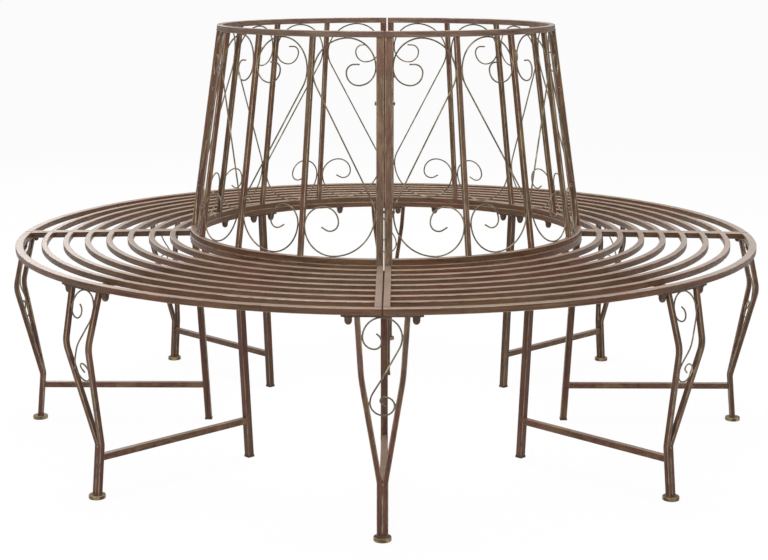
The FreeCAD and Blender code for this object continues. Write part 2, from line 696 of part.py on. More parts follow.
def leg_tube(side):
    """One of a leg's two bent tubes; side is +1 or -1 along Y."""
    size, wall = number("sheet.leg_tube"), number("sheet.leg_wall")
    top, floor = number(PLATE_LOW), number("sheet.foot_height")
    joined = side * (size / 2 + WELD_CLEARANCE)
    points = [
        vector(number(RIM_MIDDLE), side * number("sheet.leg_spread") / 2, top),
        vector(number(BOW_RADIUS), side * number("sheet.bow_spread") / 2, number(BOW_HEIGHT)),
        vector(number(KNEE_RADIUS), joined, number("sheet.knee_height")),
        vector(number(FOOT_RADIUS), joined, 0),
    ]
    points[0] = points[0] + (points[0] - points[1]).normalize() * TRIM_MARGIN
    path = bent_path(points, (number("sheet.bow_bend"), number("sheet.knee_bend")))
    heading = (points[1] - points[0]).normalize()
    across = vector(0, 1)
    outline = square_section(points[0], heading, across, size, number("sheet.leg_corner"))
    bore = square_section(points[0], heading, across, size - 2 * wall, 0)
    outside = path.makePipeShell([outline], True, False)
    inside = path.makePipeShell([bore], True, False)
    slab = Part.makeBox(2 * number("sheet.rim_radius"), 2 * number("sheet.leg_spread"), top - floor,
                        vector(0, -number("sheet.leg_spread"), floor))
    return outside.cut(inside).common(slab)


def make_outer_legs():
    tubes = [fixed_piece("leg_tube_left", leg_tube(-1)), fixed_piece("leg_tube_right", leg_tube(1))]
    for leg in range(LEGS):
        group("outer_leg_%d" % (leg + 1), [(tube, turned(0)) for tube in tubes],
              turned(FRONT_DEGREES + leg * LEG_DEGREES))


def around(label, source):
    """Eight copies of one piece, one at each leg."""
    group(label, [(source, turned(FRONT_DEGREES + leg * LEG_DEGREES)) for leg in range(LEGS)])


def between(height, low, low_value, high, high_value):
    """The value at a height on a straight run between two heights."""
    return low_value + (high_value - low_value) * (height - low) / (high - low)


def leg_half_spread(height):
    """Half the distance between the middles of a leg's tubes, above the knee."""
    top, bow, knee = number(PLATE_LOW), number(BOW_HEIGHT), number("sheet.knee_height")
    middle = number("sheet.bow_spread") / 2
    if height > bow:
        return between(height, bow, middle, top, number("sheet.leg_spread") / 2)
    return between(height, knee, number("sheet.leg_tube") / 2 + WELD_CLEARANCE, bow, middle)


def leg_clear_half(height, radius):
    """Half the width between a leg's tubes for a wire arc with a radius and a centre height."""
    lean = math.atan(leg_half_spread(height + 1) - leg_half_spread(height))
    stand_off = number("(sheet.leg_tube + sheet.leg_wire) / 2") + WELD_CLEARANCE
    return leg_half_spread(height) + radius - (radius + stand_off) / math.cos(lean)


def folded(path, place_point, fold):
    """A flat path in space, with its slanting run bent where it crosses the fold."""
    spots = laid(path, place_point)
    place = [k for k, points in enumerate(path) if len(points) == 2][1]
    top, foot = path[place]
    share = (top[1] - fold) / (top[1] - foot[1])
    crossing = place_point(top[0] + share * (foot[0] - top[0]), fold)
    arc = rounded_corner(spots[place][0], crossing, spots[place][1], number("sheet.bow_bend"))
    run = [[spots[place][0], arc[0]], arc, [arc[2], spots[place][1]]]
    return spots[:place] + run + spots[place + 1:]


def make_leg_scrolls():
    """Scrolls between the leg's tubes, bent with them over the bow."""
    top_radii = [number("sheet." + size) for size in
                 ("leg_curl", "leg_curl_third", "leg_curl_fourth", "leg_curl_last")]
    low_radii = [number("sheet." + size) for size in
                 ("leg_low_curl", "leg_low_third", "leg_low_fourth", "leg_low_last")]
    bow, wire = number(BOW_HEIGHT), number("sheet.leg_wire")
    top = number(PLATE_LOW) - wire / 2 - WELD_CLEARANCE
    below = math.atan2(number("%s - %s" % (BOW_RADIUS, KNEE_RADIUS)), bow - number("sheet.knee_height"))
    above = math.atan2(number("%s - %s" % (BOW_RADIUS, RIM_MIDDLE)), number(PLATE_LOW) - bow)
    low_touch = bow - number("sheet.leg_low_drop")
    half_top = leg_clear_half(top - top_radii[0] * math.cos(above), top_radii[0])
    half_low = leg_clear_half(low_touch, low_radii[0])
    half_low = leg_clear_half(low_touch - 2 * (low_radii[0] - half_low), low_radii[0])
    fold = (bow - low_touch) / math.cos(below)
    path = scroll_path(half_top, half_low, fold + (top - bow) / math.cos(above), -low_radii[0],
                       top_radii, low_radii,
                       (number("sheet.leg_top_tail"), number("sheet.leg_low_tail")),
                       number("sheet.leg_scroll_bend"),
                       (number("sheet.leg_top_sweep_degrees"), number("sheet.leg_low_sweep_degrees")))

    def lay(x, rise):
        lean = above if rise > fold else -below
        along = rise - fold
        return vector(number(BOW_RADIUS) - along * math.sin(lean), -x, bow + along * math.cos(lean))

    around("leg_scrolls", fixed_piece("leg_scroll", wire_along(folded(path, lay, fold), wire)))


def curved_plate(name, inner, low, width, length, spread):
    """A flat plate under a rim, with the rim's curve and two stud holes."""
    body = new_body(name)
    sketch = new_sketch(body, name + "_section", "XZ_Plane")
    add_rectangle(sketch, inner, low, width, "sheet.plate_thickness")
    bend = body.newObject("PartDesign::Revolution", name + "_bend")
    bend.Profile = sketch
    bend.ReferenceAxis = (sketch, ["V_Axis"])
    bend.Midplane = True
    middle = "(%s + %s / 2)" % (inner, width)
    bend.setExpression("Angle", "2 * asin(%s / 2 / %s)" % (length, middle))
    body.Tip = bend
    holes = new_sketch(body, name + "_holes", "XY_Plane", low)
    along = "sqrt(%s ^ 2 - (%s / 2) ^ 2)" % (middle, spread)
    for side in ("", "-"):
        add_circle(holes, along, "%s%s / 2" % (side, spread), STUD_HOLE)
    cut_through(body, name + "_drilling", holes)
    return body


def make_plates():
    around("outer_leg_plates", curved_plate("outer_plate", RIM_INNER, PLATE_LOW, "sheet.rim_width",
                                            "sheet.leg_plate_length", "sheet.leg_stud_spread"))
    around("inner_leg_plates", curved_plate("inner_plate", "sheet.inner_rim_radius", INNER_PLATE_LOW,
                                            "sheet.inner_rim_width", "sheet.inner_plate_length",
                                            "sheet.inner_stud_spread"))


def make_inner_legs():
    run = "(%s - %s)" % (INNER_RIM_MIDDLE, INNER_FOOT_RADIUS)
    around("inner_legs", leaning_bar("inner_leg", "sheet.cap_height", INNER_FOOT_RADIUS, run,
                                     INNER_LEG_RISE, "sheet.inner_leg_size", "sheet.inner_leg_wall"))


def make_foot_caps():
    """Plugs in the feet of the inner legs, each a flange and a spigot inside the tube."""
    body = new_body("foot_cap")
    wide = "(sheet.inner_leg_size + 2 * sheet.cap_overhang)"
    flange = new_sketch(body, "foot_cap_flange", "XY_Plane")
    add_rounded_rectangle(flange, "(%s - %s / 2)" % (INNER_FOOT_RADIUS, wide), "(-%s / 2)" % wide,
                          wide, wide, "sheet.tube_corner")
    pad = body.newObject("PartDesign::Pad", "foot_cap_base")
    pad.Profile = flange
    pad.setExpression("Length", "sheet.cap_height")
    body.Tip = pad
    fit = "(sheet.inner_leg_size - 2 * sheet.inner_leg_wall - 2 * sheet.hole_clearance)"
    spigot = new_sketch(body, "foot_cap_spigot", "XY_Plane", "sheet.cap_height")
    add_rectangle(spigot, "(%s - %s / 2)" % (INNER_FOOT_RADIUS, fit), "(-%s / 2)" % fit, fit, fit)
    doc.recompute()
    run = "(%s - %s)" % (INNER_RIM_MIDDLE, INNER_FOOT_RADIUS)
    slanted_pad(body, "foot_cap_plug", spigot, run, INNER_LEG_RISE, "sheet.cap_spigot")
    around("foot_caps", body)


def make_foot_discs():
    body = new_body("foot_disc")
    sketch = new_sketch(body, "foot_disc_outline", "XY_Plane")
    add_circle(sketch, FOOT_RADIUS, "0", "sheet.foot_diameter / 2")
    pad = body.newObject("PartDesign::Pad", "foot_disc_pad")
    pad.Profile = sketch
    pad.setExpression("Length", "sheet.foot_height")
    body.Tip = pad
    doc.recompute()
    rims = [k for k, edge in enumerate(pad.Shape.Edges, 1) if isinstance(edge.Curve, Part.Circle)]
    fillet = body.newObject("PartDesign::Fillet", "foot_disc_edge")
    fillet.Base = (pad, ["Edge%d" % k for k in rims])
    fillet.setExpression("Radius", "sheet.foot_edge")
    body.Tip = fillet
    around("foot_discs", body)


def make_stretchers():
    """Square tubes from the inner leg to the outer leg, with ends cut to the lean of both."""
    body = new_body("stretcher")
    outline = new_sketch(body, "stretcher_side", "XZ_Plane")
    low = "(sheet.stretcher_height - sheet.stretcher_size / 2)"
    high = "(sheet.stretcher_height + sheet.stretcher_size / 2)"
    corners = []
    for height in (low, high):
        corners.append(("%s + sheet.inner_leg_size / 2" % inner_leg_at(height), height))
    for height in (high, low):
        corners.append(("%s - sheet.leg_tube / 2 - %g" % (shin_at(height), WELD_CLEARANCE), height))
    spots = [vector(number(x), number(y)) for x, y in corners]
    edges = []
    for k in range(4):
        edges.append(outline.addGeometry(Part.LineSegment(spots[k], spots[(k + 1) % 4])))
    for k in range(4):
        outline.addConstraint(Sketcher.Constraint("Coincident", edges[k], 2, edges[(k + 1) % 4], 1))
        bind(outline, "DistanceX", (-1, 1, edges[k], 1), corners[k][0])
        bind(outline, "DistanceY", (-1, 1, edges[k], 1), corners[k][1])
    pad = body.newObject("PartDesign::Pad", "stretcher_pad")
    pad.Profile = outline
    pad.SideType = "Symmetric"
    pad.setExpression("Length", "sheet.stretcher_size")
    body.Tip = pad
    bore = new_sketch(body, "stretcher_bore", "YZ_Plane")
    clear = "(sheet.stretcher_size - 2 * sheet.tube_wall)"
    add_rectangle(bore, "(-%s / 2)" % clear, "(sheet.stretcher_height - %s / 2)" % clear, clear, clear)
    cut_through(body, "stretcher_boring", bore)
    around("stretchers", body)


# Fasteners: studs welded under the rims and the back rings, domed nuts, seam bolts and their nuts.

def disc(body, name, radius, height, depth, reversed_pad=False):
    """A round pad on the body's own level plane, at a height, with the depth as an expression."""
    outline = new_sketch(body, name + "_outline", "XY_Plane", height)
    add_circle(outline, "0", "0", radius)
    doc.recompute()
    pad = body.newObject("PartDesign::Pad", name)
    pad.Profile = outline
    pad.Reversed = reversed_pad
    pad.setExpression("Length", depth)
    body.Tip = pad
    return pad


def hexagon(body, name, across, depth):
    """A hexagonal pad that hangs from the body's own level plane."""
    outline = new_sketch(body, name + "_outline", "XY_Plane")
    size = number(across)
    spots = []
    for k in range(6):
        angle = math.radians(60 * k)
        spots.append(vector(math.cos(angle), math.sin(angle)) * (size / math.sqrt(3)))
    edges = []
    for k in range(6):
        edges.append(outline.addGeometry(Part.LineSegment(spots[k], spots[(k + 1) % 6])))
    guide = outline.addGeometry(Part.Circle(vector(0, 0), vector(0, 0, 1), size / 2), True)
    outline.addConstraint(Sketcher.Constraint("Coincident", guide, 3, -1, 1))
    for k in range(6):
        outline.addConstraint(Sketcher.Constraint("Coincident", edges[k], 2, edges[(k + 1) % 6], 1))
        outline.addConstraint(Sketcher.Constraint("Tangent", edges[k], guide))
    for k in range(1, 5):
        outline.addConstraint(Sketcher.Constraint("Equal", edges[0], edges[k]))
    outline.addConstraint(Sketcher.Constraint("Horizontal", edges[1]))
    bind(outline, "Radius", (guide,), across + " / 2")
    doc.recompute()
    pad = body.newObject("PartDesign::Pad", name)
    pad.Profile = outline
    pad.Reversed = True
    pad.setExpression("Length", depth)
    body.Tip = pad


def dome(body, name):
    """A round cap turned about the nut's axis, from a flat lid to its crown."""
    outline = new_sketch(body, name + "_outline", "XZ_Plane")
    radius, lid_height = number("sheet.dome_diameter / 2"), -number("sheet.dome_start")
    crown = -number("sheet.nut_height")
    rise = lid_height - crown
    ball = (radius ** 2 + rise ** 2) / (2 * rise)
    centre = vector(0, crown + ball)
    end = math.atan2(lid_height - centre.y, radius)
    circle = Part.Circle(centre, vector(0, 0, 1), ball)
    arc = outline.addGeometry(Part.ArcOfCircle(circle, -math.pi / 2, end))
    lid = outline.addGeometry(Part.LineSegment(vector(radius, lid_height), vector(0, lid_height)))
    axis = outline.addGeometry(Part.LineSegment(vector(0, lid_height), vector(0, crown)))
    for first, second in (((arc, 2), (lid, 1)), ((lid, 2), (axis, 1)), ((axis, 2), (arc, 1))):
        outline.addConstraint(Sketcher.Constraint("Coincident", *first, *second))
    outline.addConstraint(Sketcher.Constraint("PointOnObject", arc, 3, -2))
    outline.addConstraint(Sketcher.Constraint("PointOnObject", axis, 1, -2))
    outline.addConstraint(Sketcher.Constraint("PointOnObject", axis, 2, -2))
    outline.addConstraint(Sketcher.Constraint("Horizontal", lid))
    bind(outline, "DistanceX", (-1, 1, lid, 1), "sheet.dome_diameter / 2")
    bind(outline, "DistanceY", (-1, 1, lid, 1), "-sheet.dome_start")
    bind(outline, "DistanceY", (-1, 1, axis, 2), "-sheet.nut_height")
    doc.recompute()
    cap = body.newObject("PartDesign::Revolution", name)
    cap.Profile = outline
    cap.ReferenceAxis = (outline, ["V_Axis"])
    cap.Angle = 360
    body.Tip = cap


def bore(body, name, radius, depth):
    """A round hole down from the body's own level plane."""
    outline = new_sketch(body, name + "_outline", "XY_Plane")
    add_circle(outline, "0", "0", radius)
    doc.recompute()
    before = body.Shape.Volume
    hole = body.newObject("PartDesign::Pocket", name)
    hole.Profile = outline
    hole.setExpression("Length", depth)
    body.Tip = hole
    doc.recompute()
    assert hole.Shape.Volume < before, name


def at_place(degrees, radius, height, sideways=0.0, tilt=None):
    """A place at a radius in a direction, with an offset square to it and an optional own turn."""
    turn = FreeCAD.Rotation(vector(0, 0, 1), degrees)
    spot = turn.multVec(vector(radius, sideways, height))
    return FreeCAD.Placement(spot, turn.multiply(tilt) if tilt else turn)


def leg_stud_places(drop):
    """Two studs at every leg plate, at a drop below both rims."""
    places = []
    for middle, low, spread in ((RIM_MIDDLE, SEAT_LOW, "sheet.leg_stud_spread"),
                                (INNER_RIM_MIDDLE, INNER_LOW, "sheet.inner_stud_spread")):
        aside, height = number(spread) / 2, number(low) - drop
        radius = math.sqrt(number(middle) ** 2 - aside ** 2)
        for leg in range(LEGS):
            for side in (-1, 1):
                places.append(at_place(FRONT_DEGREES + leg * LEG_DEGREES, radius, height, side * aside))
    return places


def rail_stud_places(height):
    """Two studs under every quarter of the backrest's bottom ring."""
    places = []
    for section in range(SECTIONS):
        for angle in rail_bolt_angles(section):
            places.append(at_place(section_middle(section) + angle, number(POST_LOW), height))
    return places


def stud(name, length):
    """A stud that hangs down from its place."""
    piece = doc.addObject("Part::Cylinder", name)
    piece.setExpression("Radius", "sheet.stud_diameter / 2")
    piece.setExpression("Height", length)
    piece.setExpression("Placement.Base.z", "-(%s)" % length)
    return piece


def make_studs():
    leg_stud = stud("leg_stud", "sheet.plate_thickness + sheet.stud_reach")
    rail_stud = stud("rail_stud", "sheet.bar_height + sheet.stud_reach")
    group("leg_studs", [(leg_stud, place) for place in leg_stud_places(0)])
    group("rail_studs", [(rail_stud, place) for place in rail_stud_places(number(INNER_TOP))])


def make_domed_nuts():
    """Blind nuts on all the studs: a flange, a hexagon and a dome."""
    body = new_body("domed_nut")
    disc(body, "nut_flange", "sheet.nut_flange / 2", "0", "sheet.flange_thickness", True)
    hexagon(body, "nut_hexagon", "sheet.nut_size", "sheet.dome_start")
    dome(body, "nut_dome")
    bore(body, "nut_bore", STUD_HOLE, "sheet.stud_reach + sheet.hole_clearance")
    places = leg_stud_places(number("sheet.plate_thickness")) + rail_stud_places(number(INNER_LOW))
    group("domed_nuts", [(body, place) for place in places])


def seam_places(offset, tilt):
    """Places on the seam bolts' axes, at an offset from the seam, with local Z along the bolt."""
    places = []
    for section in range(SECTIONS):
        for height in SEAM_BOLTS:
            radius = number(lean_at(height)) - number("sheet.seam_bolt_inset")
            places.append(at_place(FRONT_DEGREES + section * SECTION_DEGREES, radius, number(height), offset, tilt))
    return places


def make_seam_bolts():
    """Round-headed bolts through the two posts of every backrest seam."""
    body = new_body("seam_bolt")
    head = disc(body, "seam_head", "sheet.seam_head / 2", "0", "sheet.seam_head_height", True)
    doc.recompute()
    rims = [k for k, edge in enumerate(head.Shape.Edges, 1)
            if isinstance(edge.Curve, Part.Circle) and edge.CenterOfMass.z < 0]
    fillet = body.newObject("PartDesign::Fillet", "seam_head_edge")
    fillet.Base = (head, ["Edge%d" % k for k in rims])
    fillet.setExpression("Radius", "sheet.seam_head_height / 3")
    body.Tip = fillet
    disc(body, "seam_shank", "sheet.seam_bolt / 2", "0",
         "sheet.seam_gap + 2 * sheet.post_size + sheet.seam_nut_height + sheet.seam_bolt_end")
    along = FreeCAD.Rotation(vector(1, 0, 0), -90)
    face = number(SEAM_TO_POST)
    group("seam_bolts", [(body, place) for place in seam_places(-face, along)])


def make_seam_nuts():
    body = new_body("seam_nut")
    hexagon(body, "seam_nut_hexagon", "sheet.seam_nut", "sheet.seam_nut_height")
    bore(body, "seam_nut_bore", "(sheet.seam_bolt + sheet.hole_clearance) / 2",
         "2 * sheet.seam_nut_height")
    back = FreeCAD.Rotation(vector(1, 0, 0), 90).multiply(FreeCAD.Rotation(vector(0, 0, 1), 30))
    face = number(SEAM_TO_POST)
    group("seam_nuts", [(body, place) for place in seam_places(face, back)])


make_rims()
make_slats()
make_end_bars()
make_straps()
make_rails()
make_posts()
make_spindles()
make_back_scrolls()
make_outer_legs()
make_leg_scrolls()
make_plates()
make_inner_legs()
make_foot_caps()
make_foot_discs()
make_stretchers()
make_studs()
make_domed_nuts()
make_seam_bolts()
make_seam_nuts()
doc.recompute()

for item in doc.Objects:
    assert not {"Invalid", "Error"} & set(item.State), (item.Name, item.State)
for node in nodes:
    assert not node.Shape.isNull() and node.Shape.isValid() and node.Shape.Solids, node.Label

os.makedirs("parts", exist_ok=True)
for node in nodes:
    node.Shape.exportStep("parts/%s.step" % node.Label)
total = sum(node.Shape.Volume for node in nodes)
print("%d sub-parts, %d solids, %.1f kg of steel" % (
    len(nodes), sum(len(node.Shape.Solids) for node in nodes), total * 7.85e-6))
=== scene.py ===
import bpy
import math
import random
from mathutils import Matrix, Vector


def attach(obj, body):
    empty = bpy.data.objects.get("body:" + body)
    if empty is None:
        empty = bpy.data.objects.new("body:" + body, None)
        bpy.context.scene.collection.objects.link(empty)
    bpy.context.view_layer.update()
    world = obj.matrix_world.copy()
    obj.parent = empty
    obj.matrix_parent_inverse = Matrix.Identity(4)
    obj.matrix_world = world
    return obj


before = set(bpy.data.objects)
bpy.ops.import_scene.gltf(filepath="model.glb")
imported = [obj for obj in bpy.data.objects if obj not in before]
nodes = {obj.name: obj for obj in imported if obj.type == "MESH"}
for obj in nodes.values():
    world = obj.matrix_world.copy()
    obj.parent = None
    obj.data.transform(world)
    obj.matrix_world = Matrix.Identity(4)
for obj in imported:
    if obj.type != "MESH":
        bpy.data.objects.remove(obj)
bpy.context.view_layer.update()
random.seed(7)

MM = 0.001
UP = Vector((0.0, 0.0, 1.0))
WHITE = (1.0, 1.0, 1.0, 1.0)

# Directions about the tree in degrees, counted from the right. A seam faces the viewer.
FRONT = -90.0
SECTION, LEG_STEP = 90.0, 45.0
SEAMS = [FRONT + SECTION * k for k in range(4)]
LEG_TURNS = [FRONT + LEG_STEP * k for k in range(8)]

# The bench's own measures in millimetres, where the welds need them: radii from the tree's axis,
# heights from the ground, and widths of tubes.
RIM_INSIDE, RIM_MIDDLE, RIM_LOW = 764.0, 772.0, 406.0
INNER_RIM_INSIDE, INNER_RIM_OUTSIDE, INNER_RIM_LOW = 405.0, 419.0, 411.5
SEAT_FALL = 5.5
BAR = 12.0
SLATS, SLAT_PITCH, SLAT_START = 7, 44.2, 412.0
SEAM_TO_POST_MIDDLE, SEAM_TO_POST, SEAM_TO_BAR = 8.5, 15.5, 13.5
POST_LOW_RADIUS, POST_HIGH_RADIUS = 412.0, 348.0
POST_FOOT, SPINDLE_FOOT, POST_TOP = 423.5, 435.5, 850.5
POST, SPINDLE, SPINDLES = 14.0, 10.0, 3
PLATE_LOW, INNER_PLATE_LOW = 403.0, 408.5
LEG_SPREAD, LEG_TUBE = 86.0, 10.0
KNEE_RADIUS, KNEE_HEIGHT, FOOT_RADIUS, FOOT_HEIGHT = 753.0, 103.0, 763.0, 8.0
INNER_FOOT, INNER_LEG, INNER_LEG_DEEP, CAP_HEIGHT = 391.0, 14.0, 13.0, 4.0
STRETCHER_LOW, STRETCHER_HIGH, STRETCHER = 72.0, 84.0, 12.0

# The weld beads in millimetres: half of each bead's thickness, how far its middle line stands
# off a face or is sunk in it, and where it starts and ends by the edges of the tubes.
UPRIGHT_BEAD, POST_SIDE_BEAD, SEAT_BEAD, LEG_BEAD, FOOT_BEAD = 1.35, 1.1, 1.15, 1.2, 1.4
KNEE_BEAD, KNEE_BLOB, STRETCHER_BEAD, SCROLL_BEAD = 1.6, 1.7, 1.3, 1.15
OFF_FACE, OFF_BAR_END, OFF_LEG = 0.1, 0.2, 0.2
SHORT_OF_CORNER, ABOVE_EDGE, BELOW_EDGE = 1.0, 1.5, 2.0
RIM_SIDE_START, RIM_SIDE_END, POST_SIDE_MARGIN, POST_SIDE_LEAN = 1.4, 1.2, 1.5, 1.0
KNEE_ABOVE, KNEE_SUNK, KNEE_OUTER_END, KNEE_INNER_END = 3.0, 0.4, 80.0, 88.0
BLOB_ASIDE, BLOB_DROP = (-1.0, 1.5), (1.0, 5.0)
SCROLL_OUT, SCROLL_REACH = 1.3, (3.0, 4.6)

# How near vertices of a wire lie that count as one vertex, or as one touch, in millimetres.
SAME_VERTEX, SAME_TOUCH = 0.02, 0.35


def srgb(red, green, blue):
    """A colour given as 0 to 255 in the picture, as the shader's linear value."""
    def linear(channel):
        share = channel / 255
        return share / 12.92 if share <= 0.04045 else ((share + 0.055) / 1.055) ** 2.4
    return (linear(red), linear(green), linear(blue), 1.0)


def four_tones(brown, red, dark, light):
    return (srgb(*brown), srgb(*red), srgb(*dark), srgb(*light))


# The paint's brown, red, dark and light, by the parts that wear it.
RING_TONES = four_tones((97, 71, 51), (104, 68, 52), (53, 37, 29), (130, 101, 76))
# The end bars' tones are darker than the rings': painted shade where the slats shade them.
SHADED_BAR_TONES = four_tones((80, 60, 47), (86, 60, 49), (44, 32, 27), (108, 86, 69))
RAIL_TONES = four_tones((122, 100, 88), (118, 90, 80), (64, 50, 44), (150, 130, 116))
POST_TONES = four_tones((103, 79, 60), (112, 75, 60), (54, 39, 31), (150, 125, 97))
LEG_TONES = four_tones((84, 61, 46), (94, 59, 49), (44, 32, 27), (118, 94, 70))
PLATE_TONES = four_tones((72, 54, 45), (78, 54, 46), (42, 32, 28), (98, 80, 68))
WIRE_TONES = four_tones((98, 86, 72), (80, 70, 66), (46, 40, 38), (158, 146, 116))
FOOT_TONES = four_tones((100, 82, 56), (98, 74, 54), (56, 44, 32), (128, 110, 82))
SEAM_TONES = four_tones((104, 88, 74), (98, 78, 68), (50, 40, 36), (168, 150, 126))
WELD_TONES = four_tones((94, 70, 54), (102, 72, 58), (58, 42, 34), (128, 102, 82))
BARE_WELD_TONES = four_tones((122, 102, 84), (130, 102, 86), (80, 64, 54), (158, 138, 118))

# The gold rubbed over the paint, the amber that it turns to in places, and its paler edges, also a
# painted highlight.
GOLD, AMBER = srgb(148, 126, 92), srgb(144, 104, 62)
RING_GOLD, POST_GOLD, LEG_GOLD = srgb(142, 114, 86), srgb(146, 124, 94), srgb(138, 110, 78)
WIRE_GOLD, FOOT_GOLD, NUT_GOLD = srgb(190, 174, 136), srgb(146, 126, 84), srgb(118, 100, 76)
SEAM_GOLD, WELD_GOLD, BARE_GOLD = srgb(198, 180, 152), srgb(146, 122, 90), srgb(196, 176, 146)
EDGE_GOLD_AND_HIGHLIGHT, POST_EDGE_GOLD_AND_HIGHLIGHT, LEG_EDGE_GOLD_AND_HIGHLIGHT = srgb(190, 166, 130), srgb(202, 180, 146), srgb(174, 150, 118)

# Pale dust and a painted sheen on faces that look up, and the foot caps' plastic with its scuffs.
DUST_AND_SHEEN = srgb(194, 166, 144)
PLASTIC, PLASTIC_SCUFF = srgb(74, 58, 47), srgb(120, 100, 78)

# Scales of the brushed streaks and of the drifting clouds, by the way that a part is brushed:
# across and along the rings, or along x, y and z.
STREAK_SCALES = {"ring": (190.0, 7.0), "upright": (240.0, 240.0, 8.0),
                 "radial": (60.0, 60.0, 260.0), "wire": (70.0, 70.0, 70.0)}
CLOUD_SCALES = {"ring": (45.0, 5.0), "upright": (55.0, 55.0, 7.0),
                "radial": (13.0, 13.0, 13.0), "wire": (30.0, 30.0, 30.0)}

# Noises of the paint, as scale, detail and roughness. Streaks and clouds have scales of their own.
STREAK_NOISE, CLOUD_NOISE = (1.0, 3.0, 0.6), (1.0, 4.0, 0.6)
FINE_NOISE, EDGE_NOISE, GRAIN_NOISE = (75.0, 5.0, 0.65), (31.0, 4.0, 0.7), (420.0, 3.0, 0.6)
RED_NOISE, AMBER_NOISE = (5.0, 2.0), (9.0, 2.0)

# Ranges of a noise or of a normal's share, and what they are carried onto if not 0 to 1.
RED_RANGE, AMBER_RANGE = (0.4, 0.6), (0.5, 0.68)
LIGHT_STREAKS, DARK_STREAKS = (0.5, 0.78, 0.0, 0.85), (0.48, 0.24, 0.0, 0.8)
DARK_SPECKS = (0.55, 0.78, 0.0, 0.7)
GOLD_CLOUDS, GOLD_SPECKS, EDGE_SPECKS = (0.48, 0.66), (0.34, 0.6, 0.2, 1.0), (0.36, 0.6, 0.2, 1.0)
CORNER_RANGE, CORNER_GAIN = (0.12, 0.85), 4.0
# Faces that look up are paled over these ranges, with dust and a painted sheen.
FACING_UP, DUST_AND_SHEEN_CLOUDS = (0.55, 0.95), (0.2, 0.75, 0.7, 1.0)
ROUGHNESS_RANGE, GOLD_ROUGHNESS = (0.3, 0.7, 0.34, 0.5), 0.05

# The paint's shine and relief.
METALLIC, BRIGHT_METALLIC, SPECULAR = 0.15, 0.3, 0.25
COAT, TOP_COAT, COAT_ROUGHNESS, COAT_IOR = 0.3, 1.0, 0.3, 1.33
GRAIN_HEIGHT, STREAK_HEIGHT, RELIEF, RELIEF_STRENGTH = 0.35, 0.8, 0.0004, 0.4

# The plastic's noises, ranges and relief.
PLASTIC_GRAIN, SCUFF_NOISE = (700.0, 2.0, 0.5), (60.0, 5.0, 0.7)
SCUFF_RANGE, SCUFF_SHARE, PLASTIC_ROUGHNESS = (0.5, 0.7), 0.5, (0.3, 0.7, 0.5, 0.65)
PLASTIC_RELIEF, PLASTIC_RELIEF_STRENGTH = 0.0002, 0.4

# The white studio in metres and watts. Camera rays see other values than the light that falls
# on the bench. A lamp has a name, a place, a spot that it aims at, a width and a power.
FLOOR_REACH, FLOOR_TONE, FLOOR_GLOW_SEEN = 40.0, 0.8, 0.94
WORLD_LIGHT, WORLD_SEEN = 0.42, 0.965
LAMPS = (
    ("overhead", (0.0, 0.2, 3.4), (0.0, 0.0, 0.3), 2.4, 92.0),
    ("front", (-0.7, -4.4, 1.9), (0.0, 0.0, 0.4), 1.8, 38.0),
    ("front_left", (-2.6, -3.4, 2.0), (0.0, 0.0, 0.4), 1.8, 12.0),
    ("front_right", (3.0, -2.6, 1.6), (0.0, 0.0, 0.4), 1.8, 11.0),
    ("back_left", (-2.1, 4.0, 2.0), (-0.4, 0.0, 0.4), 1.6, 17.0),
    ("back_right", (2.1, 4.0, 2.0), (0.4, 0.0, 0.4), 1.6, 6.0),
)

# The camera: millimetres of sensor and lens, metres from the axis and the ground, and degrees.
SENSOR, LENS = 36.0, 76.42
CAMERA_DISTANCE, CAMERA_HEIGHT = 3.4685, 1.0013
CAMERA_SWING, CAMERA_TURN, CAMERA_DIP = 0.445, 0.068, 11.231


def new_node(tree, kind):
    """A new shader node of a kind, such as Math, in a tree."""
    return tree.nodes.new("ShaderNode" + kind)


